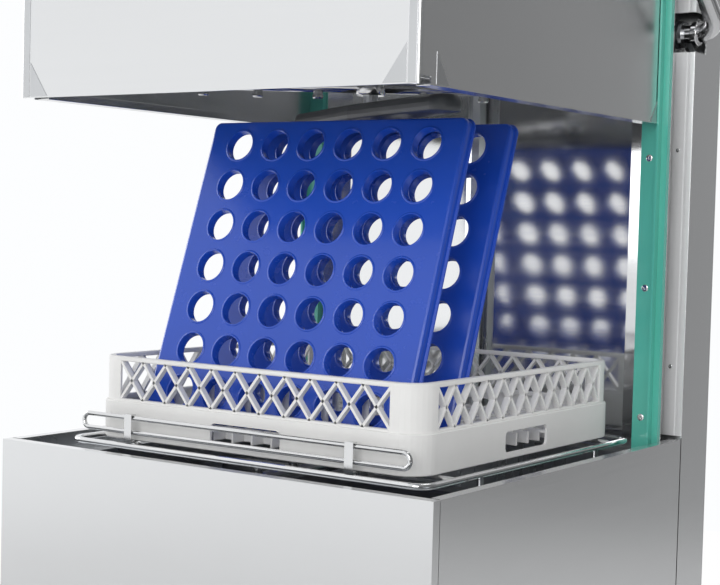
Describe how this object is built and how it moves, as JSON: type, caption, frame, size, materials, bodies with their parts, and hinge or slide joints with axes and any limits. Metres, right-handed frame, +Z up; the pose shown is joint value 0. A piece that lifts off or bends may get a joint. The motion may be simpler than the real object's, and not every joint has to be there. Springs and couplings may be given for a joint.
{
  "type": "hood-type glass washer",
  "caption": "Pass-through glass washer: a box hood on a lift handle slides down over a rack of perforated cup trays between fixed rotating spray arms above a tank.",
  "frame": {"origin": "centre of the footprint at floor level, with the hood raised as at rest", "axes": "+Z up, +X to the operator's right, +Y to the back of the machine"},
  "size_m": [0.7246, 0.7926, 1.9782],
  "materials": {
    "inner_steel": "satin pressed stainless steel",
    "brushed_panel": "fine linear brushed stainless steel",
    "polished_tube": "bright polished stainless tube",
    "polished_wire": "polished stainless wire",
    "teal_plastic": "teal sliding plastic",
    "blue_plastic": "glossy moulded blue plastic",
    "pale_plastic": "pale grey moulded plastic, fine texture",
    "dark_plastic": "dark grey moulded plastic",
    "black_moulding": "black glass-filled moulding",
    "motor_paint": "grey painted casting",
    "display_lens": "dark gloss lens",
    "button_face": "light grey moulded button"
  },
  "bodies": {
    "cabinet": {"base_frame": "inner_steel", "column_cap_left": "dark_plastic", "column_cap_right": "dark_plastic", "column_left": "brushed_panel", "column_right": "brushed_panel", "control_box": "dark_plastic", "control_fascia": "dark_plastic", "display_lens": "display_lens", "feed_pipe": "inner_steel", "fence_bracket_left": "polished_wire", "fence_bracket_right": "polished_wire", "foot_front_left": "inner_steel", "foot_front_right": "inner_steel", "foot_rear_left": "inner_steel", "foot_rear_right": "inner_steel", "front_panel": "brushed_panel", "guide_strip_left": "teal_plastic", "guide_strip_right": "teal_plastic", "lift_spring_left": "polished_wire", "lift_spring_right": "polished_wire", "lower_spindle": "inner_steel", "pivot_bush_left": "dark_plastic", "pivot_bush_right": "dark_plastic", "pressure_pipe": "black_moulding", "pump_housing": "black_moulding", "pump_motor": "motor_paint", "rack_fence": "polished_wire", "rack_guide": "polished_wire", "rear_crossbar": "inner_steel", "rear_panel": "brushed_panel", "rear_wall": "brushed_panel", "rinse_boiler": "inner_steel", "service_panel": "brushed_panel", "side_panel_left": "brushed_panel", "side_panel_right": "brushed_panel", "standpipe": "dark_plastic", "strainer_basket": "inner_steel", "suction_pipe": "black_moulding", "tank_heater": "inner_steel", "tank_strainer_left": "inner_steel", "tank_strainer_right": "inner_steel", "tub": "inner_steel", "upper_spindle": "inner_steel"},
    "hood": {"hood_shell": "brushed_panel"},
    "handle": {"crank_left": "inner_steel", "crank_right": "inner_steel", "handle_tube": "polished_tube", "lift_roller_left": "dark_plastic", "lift_roller_right": "dark_plastic"},
    "upper_wash": {"upper_wash_arm": "dark_plastic"},
    "upper_rinse": {"upper_rinse_arm": "polished_tube"},
    "lower_wash": {"lower_wash_arm": "dark_plastic"},
    "lower_rinse": {"lower_rinse_arm": "polished_tube"},
    "rack": {"back_tray": "blue_plastic", "dish_rack": "pale_plastic", "front_tray": "blue_plastic"},
    "impeller": {"pump_impeller": "dark_plastic"},
    "power_key": {"power_button": "button_face"},
    "program_key": {"program_button": "button_face"},
    "start_key": {"start_button": "button_face"}
  },
  "joints": [
    {"name": "hood_lift", "type": "slide", "parent": "cabinet", "child": "hood", "axis": [0, 0, 1], "range_m": [-0.44, 0]},
    {"name": "handle_swing", "type": "hinge", "parent": "cabinet", "child": "handle", "pos_m": [0, 0.3252, 1.412], "axis": [1, 0, 0], "range_deg": [0, 72.01], "deforming": ["lift_spring_left", "lift_spring_right"]},
    {"name": "upper_wash_spin", "type": "hinge", "parent": "cabinet", "child": "upper_wash", "pos_m": [0, -0.0068, 1.274], "axis": [0, 0, 1], "continuous": true},
    {"name": "upper_rinse_spin", "type": "hinge", "parent": "cabinet", "child": "upper_rinse", "pos_m": [0, -0.0068, 1.318], "axis": [0, 0, 1], "continuous": true},
    {"name": "lower_wash_spin", "type": "hinge", "parent": "cabinet", "child": "lower_wash", "pos_m": [0, -0.0068, 0.778], "axis": [0, 0, 1], "continuous": true},
    {"name": "lower_rinse_spin", "type": "hinge", "parent": "cabinet", "child": "lower_rinse", "pos_m": [0, -0.0068, 0.822], "axis": [0, 0, 1], "continuous": true},
    {"name": "rack_slide", "type": "slide", "parent": "cabinet", "child": "rack", "axis": [1, 0, 0], "range_m": [0, 0.55]},
    {"name": "impeller_spin", "type": "hinge", "parent": "cabinet", "child": "impeller", "pos_m": [0.1, -0.0468, 0.33], "axis": [0, 1, 0], "continuous": true},
    {"name": "power_press", "type": "slide", "parent": "cabinet", "child": "power_key", "axis": [0, 1, 0], "range_m": [0, 0.003], "stiffness_N_per_m": 500},
    {"name": "program_press", "type": "slide", "parent": "cabinet", "child": "program_key", "axis": [0, 1, 0], "range_m": [0, 0.003], "stiffness_N_per_m": 450},
    {"name": "start_press", "type": "slide", "parent": "cabinet", "child": "start_key", "axis": [0, 1, 0], "range_m": [0, 0.003], "stiffness_N_per_m": 600}
  ],
  "couplings": [
    {"joint": "handle_swing", "follows": "hood_lift", "rad_per_m": -2.856}
  ]
}
